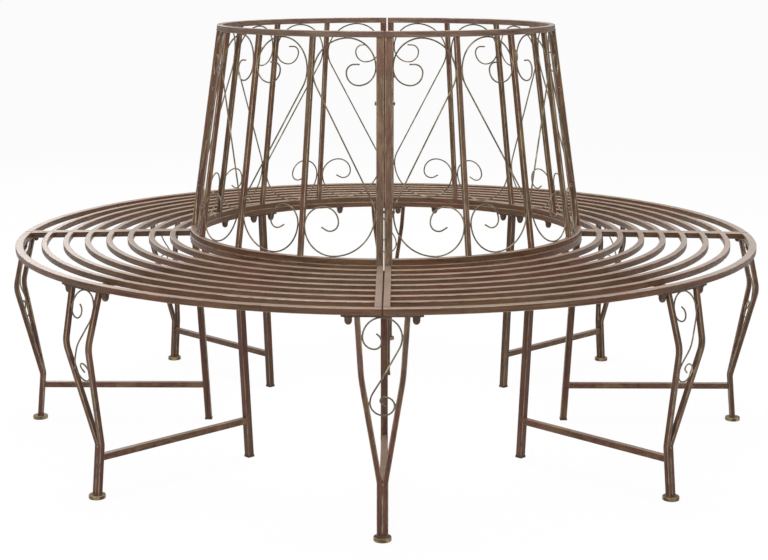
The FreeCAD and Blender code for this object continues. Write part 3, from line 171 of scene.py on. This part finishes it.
class Graph:
    """Short names for the shader nodes that the finishes are built from."""

    def __init__(self, name):
        self.material = bpy.data.materials.new(name)
        self.material.use_nodes = True
        self.tree = self.material.node_tree
        self.tree.nodes.clear()
        output = new_node(self.tree, "OutputMaterial")
        self.shader = new_node(self.tree, "BsdfPrincipled")
        self.tree.links.new(self.shader.outputs[0], output.inputs[0])
        self.place = new_node(self.tree, "TexCoord").outputs["Object"]

    def put(self, source, socket):
        """A number, a tuple or another node's output, as the value of a socket."""
        if isinstance(source, (int, float)):
            socket.default_value = source
        elif isinstance(source, tuple):
            socket.default_value = source[:len(socket.default_value)]
        else:
            self.tree.links.new(source, socket)

    def noise(self, scale, detail, roughness=0.55, place=None):
        node = new_node(self.tree, "TexNoise")
        node.inputs["Scale"].default_value = scale
        node.inputs["Detail"].default_value = detail
        node.inputs["Roughness"].default_value = roughness
        self.tree.links.new(place or self.place, node.inputs["Vector"])
        return node.outputs["Fac"]

    def ringwise(self, across, along):
        """Radius, angle and height about the bench's axis, scaled across and along its rings."""
        parts = new_node(self.tree, "SeparateXYZ")
        self.tree.links.new(self.place, parts.inputs[0])
        x, y, z = parts.outputs[0], parts.outputs[1], parts.outputs[2]
        squares = self.math("ADD", self.math("MULTIPLY", x, x), self.math("MULTIPLY", y, y))
        radius = self.math("SQRT", squares)
        angle = self.math("ARCTAN2", y, x)
        joined = new_node(self.tree, "CombineXYZ")
        self.put(self.math("MULTIPLY", radius, across), joined.inputs[0])
        self.put(self.math("MULTIPLY", angle, along), joined.inputs[1])
        self.put(self.math("MULTIPLY", z, across), joined.inputs[2])
        return joined.outputs[0]

    def scaled(self, scales):
        """Object coordinates for one row of STREAK_SCALES or CLOUD_SCALES."""
        if len(scales) == 2:
            return self.ringwise(*scales)
        return self.vector("MULTIPLY", self.place, scales)

    def ramp(self, source, low, high, start=0.0, end=1.0):
        """source carried from the range low to high onto start to end, smoothly, and clamped."""
        node = new_node(self.tree, "MapRange")
        node.interpolation_type = "SMOOTHSTEP"
        self.put(source, node.inputs["Value"])
        limits = (("From Min", low), ("From Max", high), ("To Min", start), ("To Max", end))
        for name, value in limits:
            node.inputs[name].default_value = value
        return node.outputs["Result"]

    def math(self, operation, first, second=0.0, clamp=False):
        node = new_node(self.tree, "Math")
        node.operation = operation
        node.use_clamp = clamp
        self.put(first, node.inputs[0])
        self.put(second, node.inputs[1])
        return node.outputs[0]

    def mix(self, share, first, second):
        """first where share is 0, second where it is 1."""
        node = new_node(self.tree, "Mix")
        node.data_type = "RGBA"
        self.put(share, node.inputs["Factor"])
        self.put(first, next(s for s in node.inputs if s.name == "A" and s.type == "RGBA"))
        self.put(second, next(s for s in node.inputs if s.name == "B" and s.type == "RGBA"))
        return next(s for s in node.outputs if s.type == "RGBA")

    def vector(self, operation, first, second=None):
        node = new_node(self.tree, "VectorMath")
        node.operation = operation
        self.put(first, node.inputs[0])
        if second is not None:
            self.put(second, node.inputs[1])
        return node.outputs["Value" if operation == "DOT_PRODUCT" else "Vector"]

    def shares(self):
        """The normal's shares outwards, along the ring and upwards."""
        normal = new_node(self.tree, "NewGeometry").outputs["Normal"]
        outward = self.vector("MULTIPLY", self.place, (1.0, 1.0, 0.0))
        outward = self.vector("NORMALIZE", outward)
        sideways = self.vector("CROSS_PRODUCT", tuple(UP), outward)
        axes = (outward, sideways, tuple(UP))
        return [self.vector("DOT_PRODUCT", normal, axis) for axis in axes]

    def corners(self, shares):
        """1 on the rounded corners of the square tubes, 0 on their flat faces."""
        out, side, up = [self.math("MULTIPLY", share, share) for share in shares]
        total = self.math("MULTIPLY", out, up)
        for first, second in ((side, up), (out, side)):
            total = self.math("ADD", total, self.math("MULTIPLY", first, second))
        return self.ramp(self.math("MULTIPLY", total, CORNER_GAIN), *CORNER_RANGE)

    def bump(self, height, distance, strength):
        node = new_node(self.tree, "Bump")
        node.inputs["Strength"].default_value = strength
        node.inputs["Distance"].default_value = distance
        self.put(height, node.inputs["Height"])
        self.tree.links.new(node.outputs["Normal"], self.shader.inputs["Normal"])


def painted(name, way, tones, gold, patches, wear_and_highlight, edge=None, dust_and_sheen=0.0, metallic=METALLIC):
    """Satin paint with clouds of tone, brushed streaks, dull gold in patches, and gold over edges
    that is also a painted highlight.

    way is a key of STREAK_SCALES. tones are the brown, red, dark and light of the paint. patches
    says how much gold lies on faces, and the share after it how much paler gold lies on corners,
    as wear and also as a painted highlight; edge may stand in for gold there.
    The share after edge says how far faces that look up are paled, with dust and a painted sheen;
    these faces then have a full coat as well.
    """
    g = Graph(name)
    brown, red, dark, light = tones
    shares = g.shares()
    upward = shares[2]
    streak = g.noise(*STREAK_NOISE, g.scaled(STREAK_SCALES[way]))
    fine = g.noise(*FINE_NOISE)
    cloud = g.noise(*CLOUD_NOISE, g.scaled(CLOUD_SCALES[way]))

    colour = g.mix(g.ramp(g.noise(*RED_NOISE), *RED_RANGE), brown, red)
    colour = g.mix(g.ramp(streak, *LIGHT_STREAKS), colour, light)
    colour = g.mix(g.ramp(streak, *DARK_STREAKS), colour, dark)
    colour = g.mix(g.ramp(fine, *DARK_SPECKS), colour, dark)

    patch = g.math("MULTIPLY", g.ramp(cloud, *GOLD_CLOUDS), g.ramp(fine, *GOLD_SPECKS))
    patch = g.math("MULTIPLY", patch, patches)
    # Corners get paler gold, rubbed there and also a painted highlight along the edges.
    corner = g.math("MULTIPLY", g.corners(shares), g.ramp(g.noise(*EDGE_NOISE), *EDGE_SPECKS))
    corner = g.math("MULTIPLY", corner, wear_and_highlight, clamp=True)
    rubbed = g.mix(g.ramp(g.noise(*AMBER_NOISE), *AMBER_RANGE), gold, AMBER)
    colour = g.mix(patch, colour, rubbed)
    colour = g.mix(corner, colour, edge or gold)

    g.shader.inputs["Coat Weight"].default_value = COAT
    # Faces that look up are paled with dust and a painted sheen, and get a full coat.
    if dust_and_sheen:
        g.put(g.ramp(upward, *FACING_UP, COAT, TOP_COAT), g.shader.inputs["Coat Weight"])
        share = g.math("MULTIPLY", g.ramp(upward, *FACING_UP), g.ramp(cloud, *DUST_AND_SHEEN_CLOUDS))
        colour = g.mix(g.math("MULTIPLY", share, dust_and_sheen), colour, DUST_AND_SHEEN)
    g.put(colour, g.shader.inputs["Base Color"])

    golden = g.math("MULTIPLY", g.math("MAXIMUM", patch, corner), GOLD_ROUGHNESS)
    rough = g.math("ADD", g.ramp(fine, *ROUGHNESS_RANGE), golden)
    g.put(rough, g.shader.inputs["Roughness"])
    g.shader.inputs["Metallic"].default_value = metallic
    g.shader.inputs["Specular IOR Level"].default_value = SPECULAR
    g.shader.inputs["Coat Roughness"].default_value = COAT_ROUGHNESS
    g.shader.inputs["Coat IOR"].default_value = COAT_IOR

    grain = g.math("MULTIPLY", g.noise(*GRAIN_NOISE), GRAIN_HEIGHT)
    height = g.math("ADD", grain, g.math("MULTIPLY", streak, STREAK_HEIGHT))
    g.bump(height, RELIEF, RELIEF_STRENGTH)
    return g.material


def moulded_plastic():
    g = Graph("cap_plastic")
    grain = g.noise(*PLASTIC_GRAIN)
    scuffs = g.math("MULTIPLY", g.ramp(g.noise(*SCUFF_NOISE), *SCUFF_RANGE), SCUFF_SHARE)
    g.put(g.mix(scuffs, PLASTIC, PLASTIC_SCUFF), g.shader.inputs["Base Color"])
    g.put(g.ramp(grain, *PLASTIC_ROUGHNESS), g.shader.inputs["Roughness"])
    g.bump(grain, PLASTIC_RELIEF, PLASTIC_RELIEF_STRENGTH)
    return g.material


# The finishes. Numbers are the gold's share in patches and on corners, where it is also a painted
# highlight, and the share of dust and painted sheen on faces that look up.
ring_paint = painted("ring_paint", "ring", RING_TONES, RING_GOLD, 0.24, 0.75, EDGE_GOLD_AND_HIGHLIGHT, 0.47)
# End bars and strap: darker tones as painted shade from the slats.
shaded_bar_paint = painted("shaded_bar_paint", "radial", SHADED_BAR_TONES, GOLD, 0.2, 0.6, EDGE_GOLD_AND_HIGHLIGHT, 0.64)
stretcher_paint = painted("stretcher_paint", "radial", RING_TONES, GOLD, 0.4, 0.8, EDGE_GOLD_AND_HIGHLIGHT, 0.5)
rail_paint = painted("rail_paint", "ring", RAIL_TONES, GOLD, 0.3, 0.8, EDGE_GOLD_AND_HIGHLIGHT, 0.55)
post_paint = painted("post_paint", "upright", POST_TONES, POST_GOLD, 0.6, 1.0, POST_EDGE_GOLD_AND_HIGHLIGHT)
plate_paint = painted("plate_paint", "ring", PLATE_TONES, GOLD, 0.2, 0.3)
leg_paint = painted("leg_paint", "upright", LEG_TONES, LEG_GOLD, 0.45, 0.85, LEG_EDGE_GOLD_AND_HIGHLIGHT)
wire_paint = painted("wire_paint", "wire", WIRE_TONES, WIRE_GOLD, 0.85, 0.3,
                     metallic=BRIGHT_METALLIC)
foot_paint = painted("foot_paint", "wire", FOOT_TONES, FOOT_GOLD, 0.95, 0.9, EDGE_GOLD_AND_HIGHLIGHT)
nut_paint = painted("nut_paint", "wire", PLATE_TONES, NUT_GOLD, 0.35, 0.4,
                    metallic=BRIGHT_METALLIC)
seam_paint = painted("seam_paint", "wire", SEAM_TONES, SEAM_GOLD, 0.85, 0.7,
                     metallic=BRIGHT_METALLIC)
weld_paint = painted("weld_paint", "wire", WELD_TONES, WELD_GOLD, 0.5, 0.3)
bare_weld = painted("bare_weld", "wire", BARE_WELD_TONES, BARE_GOLD, 0.9, 0.4)

# Starts of node names and their finishes. The first that fits counts, and the last fits all.
FINISHES = (
    ("back_scrolls", wire_paint),
    ("leg_scrolls", wire_paint),
    ("end_posts", post_paint),
    ("back_spindles", post_paint),
    ("outer_leg_plates", plate_paint),
    ("inner_leg_plates", plate_paint),
    ("outer_leg_", leg_paint),
    ("inner_legs", leg_paint),
    ("end_bars", shaded_bar_paint),
    ("slat_strap", shaded_bar_paint),
    ("top_rail", rail_paint),
    ("stretchers", stretcher_paint),
    ("foot_discs", foot_paint),
    ("foot_caps", moulded_plastic()),
    ("leg_studs", nut_paint),
    ("rail_studs", nut_paint),
    ("domed_nuts", nut_paint),
    ("seam_", seam_paint),
    ("", ring_paint),
)
for name, node in nodes.items():
    finish = next(material for start, material in FINISHES if name.startswith(start))
    for spot in node.material_slots:
        spot.material = finish


def polar(degrees, radius, aside, height):
    """A place in metres, from millimetres in a direction, square to it and up."""
    turn = math.radians(degrees)
    return Vector((radius * math.cos(turn) - aside * math.sin(turn),
                   radius * math.sin(turn) + aside * math.cos(turn), height)) * MM


class Beads:
    """Weld beads of one region, joined in one mesh.

    RIPPLE is in millimetres. LEAST_RADIUS, SWELL, RADIUS_JITTER and WOBBLE are shares of a bead's
    half thickness.
    """

    SIDES = 8
    RIPPLE = 1.5
    RINGS_PER_RIPPLE = 3
    HUMP_POWER, LEAST_RADIUS = 5, 0.18
    SWELL, RADIUS_JITTER, WOBBLE = 0.13, 0.05, 0.08
    LARGEST_PHASE = 6.3
    NEARLY_UPRIGHT = 0.2

    def __init__(self, name, paint):
        self.name = name
        self.paint = paint
        self.points = []
        self.faces = []

    def add(self, start, end, half_thickness):
        """A rippled bead between two places in metres, thickest in the middle."""
        thick = half_thickness * MM
        along = end - start
        heading = along.normalized()
        side = heading.cross(UP)
        if side.length < self.NEARLY_UPRIGHT:
            side = heading.cross(Vector((1.0, 0.0, 0.0)))
        side.normalize()
        up = side.cross(heading)
        ripples = max(2, round(along.length / (self.RIPPLE * MM)))
        rings = ripples * self.RINGS_PER_RIPPLE + 1
        phase = random.uniform(0.0, self.LARGEST_PHASE)
        first = len(self.points)
        for k in range(rings):
            t = k / (rings - 1)
            hump = 1.0 - abs(2 * t - 1) ** self.HUMP_POWER
            swell = (1.0 + self.SWELL * math.sin(2 * math.pi * ripples * t + phase)
                     + random.uniform(-self.RADIUS_JITTER, self.RADIUS_JITTER))
            radius = thick * max(self.LEAST_RADIUS, math.sqrt(hump)) * swell
            wobble = Vector([random.uniform(-self.WOBBLE, self.WOBBLE) * thick
                             for axis in range(3)])
            middle = start + along * t + wobble
            for step in range(self.SIDES):
                turn = 2 * math.pi * step / self.SIDES
                spoke = side * math.cos(turn) + up * math.sin(turn)
                self.points.append(middle + spoke * radius)
        for k in range(rings - 1):
            low, high = first + k * self.SIDES, first + (k + 1) * self.SIDES
            for step in range(self.SIDES):
                after = (step + 1) % self.SIDES
                self.faces.append((low + step, low + after, high + after, high + step))
        self.faces.append(tuple(range(first + self.SIDES - 1, first - 1, -1)))
        last = first + (rings - 1) * self.SIDES
        self.faces.append(tuple(range(last, last + self.SIDES)))

    def finish(self):
        """Turns the beads into a piece that rides on the bench."""
        mesh = bpy.data.meshes.new(self.name)
        mesh.from_pydata([tuple(point) for point in self.points], [], self.faces)
        mesh.polygons.foreach_set("use_smooth", [True] * len(mesh.polygons))
        mesh.materials.append(self.paint)
        mesh.update()
        piece = bpy.data.objects.new(self.name, mesh)
        bpy.context.scene.collection.objects.link(piece)
        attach(piece, "root")


def spindle_turns():
    """Directions of a section's spindles, from its first seam."""
    middle = (POST_LOW_RADIUS + POST_HIGH_RADIUS) / 2
    seam_face = math.degrees(math.asin(SEAM_TO_POST / middle))
    spindle_face = math.degrees(math.asin(SPINDLE / 2 / middle))
    free = SECTION - 2 * seam_face - 2 * SPINDLES * spindle_face
    step = free / (SPINDLES + 1) + 2 * spindle_face
    return [seam_face + k * step - spindle_face for k in range(1, SPINDLES + 1)]


def upright_welds(beads, degrees, aside, size, foot, foot_radius):
    """Beads across both faces of a post or spindle, at its foot and at its top."""
    reach = size / 2 - SHORT_OF_CORNER
    for radius, height in ((foot_radius, foot), (POST_HIGH_RADIUS, POST_TOP)):
        for face in (-1, 1):
            spot = radius + face * (size / 2 + OFF_FACE)
            beads.add(polar(degrees, spot, aside - reach, height),
                      polar(degrees, spot, aside + reach, height), UPRIGHT_BEAD)


def weld_backrest():
    beads = Beads("weld_beads_back", weld_paint)
    lean = POST_LOW_RADIUS - POST_HIGH_RADIUS
    spindle_radius = POST_LOW_RADIUS - lean * (SPINDLE_FOOT - POST_FOOT) / (POST_TOP - POST_FOOT)
    for seam in SEAMS:
        for side in (-1, 1):
            upright_welds(beads, seam, side * SEAM_TO_POST_MIDDLE, POST, POST_FOOT,
                          POST_LOW_RADIUS)
            for radius in (INNER_RIM_INSIDE + RIM_SIDE_START, INNER_RIM_OUTSIDE - RIM_SIDE_END):
                aside = side * SEAM_TO_POST
                beads.add(polar(seam, radius, aside, POST_FOOT + POST_SIDE_MARGIN),
                          polar(seam, radius - POST_SIDE_LEAN, aside,
                                SPINDLE_FOOT - POST_SIDE_MARGIN), POST_SIDE_BEAD)
        for turn in spindle_turns():
            upright_welds(beads, seam + turn, 0.0, SPINDLE, SPINDLE_FOOT, spindle_radius)
    beads.finish()


def bar_end_bead(beads, seam, radius, aside, low):
    """A bead up the corner between an end bar and a tube that ends on it."""
    beads.add(polar(seam, radius, aside, low + ABOVE_EDGE),
              polar(seam, radius, aside, low + BAR - BELOW_EDGE), SEAT_BEAD)


def weld_seat():
    beads = Beads("weld_beads_seat", weld_paint)
    for seam in SEAMS:
        for side in (-1, 1):
            aside = side * (SEAM_TO_BAR + OFF_BAR_END)
            for k in range(1, SLATS + 1):
                low = INNER_RIM_LOW - SEAT_FALL * k / (SLATS + 1)
                middle = math.sqrt((SLAT_START + k * SLAT_PITCH) ** 2 - aside ** 2)
                for face in (-1, 1):
                    bar_end_bead(beads, seam, middle + face * (BAR / 2 + OFF_FACE), aside, low)
            bar_end_bead(beads, seam, INNER_RIM_OUTSIDE, aside, INNER_RIM_LOW)
            bar_end_bead(beads, seam, RIM_INSIDE - OFF_BAR_END, aside, RIM_LOW)
    beads.finish()


def shin(height):
    """Radius of an outer leg's middle line below its knee."""
    return KNEE_RADIUS + (FOOT_RADIUS - KNEE_RADIUS) * (KNEE_HEIGHT - height) / KNEE_HEIGHT


def inner_leg(height):
    """Radius of an inner leg's middle line."""
    run = SLAT_START - INNER_FOOT
    return INNER_FOOT + run * (height - CAP_HEIGHT) / (INNER_PLATE_LOW - CAP_HEIGHT)


def ring_of_beads(beads, degrees, radius, aside, height, deep, wide, thick):
    """Four beads around a rectangular joint in a level plane."""
    for face in (-1, 1):
        spot, reach = radius + face * deep / 2, wide / 2 - SHORT_OF_CORNER
        beads.add(polar(degrees, spot, aside - reach, height),
                  polar(degrees, spot, aside + reach, height), thick)
        spot, reach = aside + face * wide / 2, deep / 2 - SHORT_OF_CORNER
        beads.add(polar(degrees, radius - reach, spot, height),
                  polar(degrees, radius + reach, spot, height), thick)


def stretcher_beads(beads, turn, low_radius, high_radius):
    """Beads over the top and down both sides of a stretcher's end."""
    half = STRETCHER / 2
    beads.add(polar(turn, high_radius, -half + SHORT_OF_CORNER, STRETCHER_HIGH),
              polar(turn, high_radius, half - SHORT_OF_CORNER, STRETCHER_HIGH), STRETCHER_BEAD)
    for side in (-half, half):
        beads.add(polar(turn, low_radius, side, STRETCHER_LOW + SHORT_OF_CORNER),
                  polar(turn, high_radius, side, STRETCHER_HIGH - SHORT_OF_CORNER),
                  STRETCHER_BEAD)


def knee_bead(beads, turn, face, low):
    """A bead from above the knee down to low, on one face of the leg's two tubes."""
    top, half = KNEE_HEIGHT + KNEE_ABOVE, LEG_TUBE / 2
    beads.add(polar(turn, shin(top) + face * half - face * KNEE_SUNK, 0.0, top),
              polar(turn, shin(low) + face * half - face * KNEE_SUNK, 0.0, low), KNEE_BEAD)


def weld_legs():
    beads = Beads("weld_beads_legs", weld_paint)
    blobs = Beads("weld_blobs_knees", bare_weld)
    half = LEG_TUBE / 2
    for turn in LEG_TURNS:
        for side in (-1, 1):
            ring_of_beads(beads, turn, RIM_MIDDLE, side * LEG_SPREAD / 2, PLATE_LOW, LEG_TUBE,
                          LEG_TUBE, LEG_BEAD)
        ring_of_beads(beads, turn, SLAT_START, 0.0, INNER_PLATE_LOW, INNER_LEG_DEEP, INNER_LEG,
                      LEG_BEAD)
        ring_of_beads(beads, turn, shin(FOOT_HEIGHT), 0.0, FOOT_HEIGHT, LEG_TUBE, 2 * LEG_TUBE,
                      FOOT_BEAD)
        knee_bead(beads, turn, 1, KNEE_OUTER_END)
        front = shin(KNEE_HEIGHT) + half + KNEE_SUNK
        blobs.add(*[polar(turn, front, aside, KNEE_HEIGHT - drop)
                    for aside, drop in zip(BLOB_ASIDE, BLOB_DROP)], KNEE_BLOB)
        knee_bead(beads, turn, -1, KNEE_INNER_END)
        stretcher_beads(beads, turn, inner_leg(STRETCHER_LOW) + INNER_LEG / 2 + OFF_LEG,
                        inner_leg(STRETCHER_HIGH) + INNER_LEG / 2 + OFF_LEG)
        stretcher_beads(beads, turn, shin(STRETCHER_LOW) - half - OFF_LEG,
                        shin(STRETCHER_HIGH) - half - OFF_LEG)
    beads.finish()
    blobs.finish()


def wires(node):
    """The separate wires of a node, each as the list of its vertices.

    Vertices at one place belong together, also where the faces of a wire don't share them.
    """
    mesh = node.data
    places = {}
    home = []
    for k, vertex in enumerate(mesh.vertices):
        spot = tuple(round(part / (SAME_VERTEX * MM)) for part in vertex.co)
        home.append(places.setdefault(spot, k))

    def root(k):
        while home[k] != k:
            home[k] = home[home[k]]
            k = home[k]
        return k

    for edge in mesh.edges:
        home[root(edge.vertices[0])] = root(edge.vertices[1])
    found = {}
    for k, vertex in enumerate(mesh.vertices):
        found.setdefault(root(k), []).append(vertex.co.copy())
    return list(found.values())


def touches(points, lowest):
    """Where a scroll meets its surround: each place, the wire's direction there, and outwards.

    lowest says whether the scroll's lowest point is one of them.
    """
    outward = sum((Vector((p.x, p.y, 0.0)) for p in points), Vector()).normalized()
    sideways = Vector((-outward.y, outward.x, 0.0))
    middle = (min(p.z for p in points) + max(p.z for p in points)) / 2
    upper, lower = [p for p in points if p.z > middle], [p for p in points if p.z <= middle]
    seeks = [(points, UP, sideways), (upper, sideways, UP), (upper, -sideways, UP),
             (lower, sideways, UP), (lower, -sideways, UP)]
    if lowest:
        seeks.append((points, -UP, sideways))
    spots = []
    for part, towards, along in seeks:
        best = max(p.dot(towards) for p in part)
        near = [p for p in part if p.dot(towards) > best - SAME_TOUCH * MM]
        spots.append((sum(near, Vector()) / len(near), along, outward))
    return spots


def weld_scrolls():
    beads = Beads("weld_beads_scrolls", bare_weld)
    for name, node in nodes.items():
        if "scrolls" in name:
            for points in wires(node):
                for spot, along, outward in touches(points, name.startswith("back")):
                    for side in (-1, 1):
                        middle = spot + outward * (side * SCROLL_OUT * MM)
                        reach = along * (random.uniform(*SCROLL_REACH) * MM)
                        beads.add(middle - reach, middle + reach, SCROLL_BEAD)
    beads.finish()


weld_backrest()
weld_seat()
weld_legs()
weld_scrolls()


def camera_rays(tree):
    """1 for the rays that show the plain white background itself."""
    return new_node(tree, "LightPath").outputs["Is Camera Ray"]


def make_floor():
    """A pale floor that the camera sees as near white, with the bench's soft shadow on it."""
    mesh = bpy.data.meshes.new("floor")
    corners = [(-FLOOR_REACH, -FLOOR_REACH, 0), (FLOOR_REACH, -FLOOR_REACH, 0),
               (FLOOR_REACH, FLOOR_REACH, 0), (-FLOOR_REACH, FLOOR_REACH, 0)]
    mesh.from_pydata(corners, [], [(0, 1, 2, 3)])
    floor = bpy.data.objects.new("floor", mesh)
    bpy.context.scene.collection.objects.link(floor)
    material = bpy.data.materials.new("floor_white")
    material.use_nodes = True
    tree = material.node_tree
    tree.nodes.clear()
    output = new_node(tree, "OutputMaterial")
    plain = new_node(tree, "BsdfDiffuse")
    tint = new_node(tree, "MapRange")
    tint.inputs["To Min"].default_value = FLOOR_TONE
    tree.links.new(camera_rays(tree), tint.inputs["Value"])
    tree.links.new(tint.outputs["Result"], plain.inputs["Color"])
    glow = new_node(tree, "Emission")
    glow.inputs["Color"].default_value = WHITE
    glow.inputs["Strength"].default_value = 1.0
    share = new_node(tree, "Math")
    share.operation = "MULTIPLY"
    share.inputs[1].default_value = FLOOR_GLOW_SEEN
    mixer = new_node(tree, "MixShader")
    tree.links.new(camera_rays(tree), share.inputs[0])
    tree.links.new(share.outputs[0], mixer.inputs[0])
    tree.links.new(plain.outputs[0], mixer.inputs[1])
    tree.links.new(glow.outputs[0], mixer.inputs[2])
    tree.links.new(mixer.outputs[0], output.inputs[0])
    mesh.materials.append(material)


def make_world():
    """Even white light all round, brighter where the camera sees it directly."""
    world = bpy.data.worlds.new("studio")
    bpy.context.scene.world = world
    world.use_nodes = True
    tree = world.node_tree
    tree.nodes.clear()
    output = new_node(tree, "OutputWorld")
    back = new_node(tree, "Background")
    strength = new_node(tree, "MapRange")
    strength.inputs["To Min"].default_value = WORLD_LIGHT
    strength.inputs["To Max"].default_value = WORLD_SEEN
    back.inputs["Color"].default_value = WHITE
    tree.links.new(camera_rays(tree), strength.inputs["Value"])
    tree.links.new(strength.outputs["Result"], back.inputs["Strength"])
    tree.links.new(back.outputs[0], output.inputs[0])


def add_lamp(name, place, aim, width, power):
    data = bpy.data.lights.new(name, "AREA")
    data.shape = "SQUARE"
    data.size = width
    data.energy = power
    lamp = bpy.data.objects.new(name, data)
    lamp.location = place
    lamp.rotation_euler = (Vector(aim) - Vector(place)).to_track_quat("-Z", "Y").to_euler()
    bpy.context.scene.collection.objects.link(lamp)


def make_camera():
    """The photograph's view, worked out from the rings, seams and feet."""
    data = bpy.data.cameras.new("view")
    data.sensor_fit = "HORIZONTAL"
    data.sensor_width = SENSOR
    data.lens = LENS
    camera = bpy.data.objects.new("view", data)
    swing = math.radians(CAMERA_SWING)
    camera.location = (CAMERA_DISTANCE * math.sin(swing), -CAMERA_DISTANCE * math.cos(swing),
                       CAMERA_HEIGHT)
    camera.rotation_euler = (math.radians(90 - CAMERA_DIP), 0.0,
                             math.radians(CAMERA_SWING + CAMERA_TURN))
    bpy.context.scene.collection.objects.link(camera)
    bpy.context.scene.camera = camera


make_floor()
make_world()
for lamp in LAMPS:
    add_lamp(*lamp)
make_camera()
bpy.context.scene.view_settings.view_transform = "Standard"
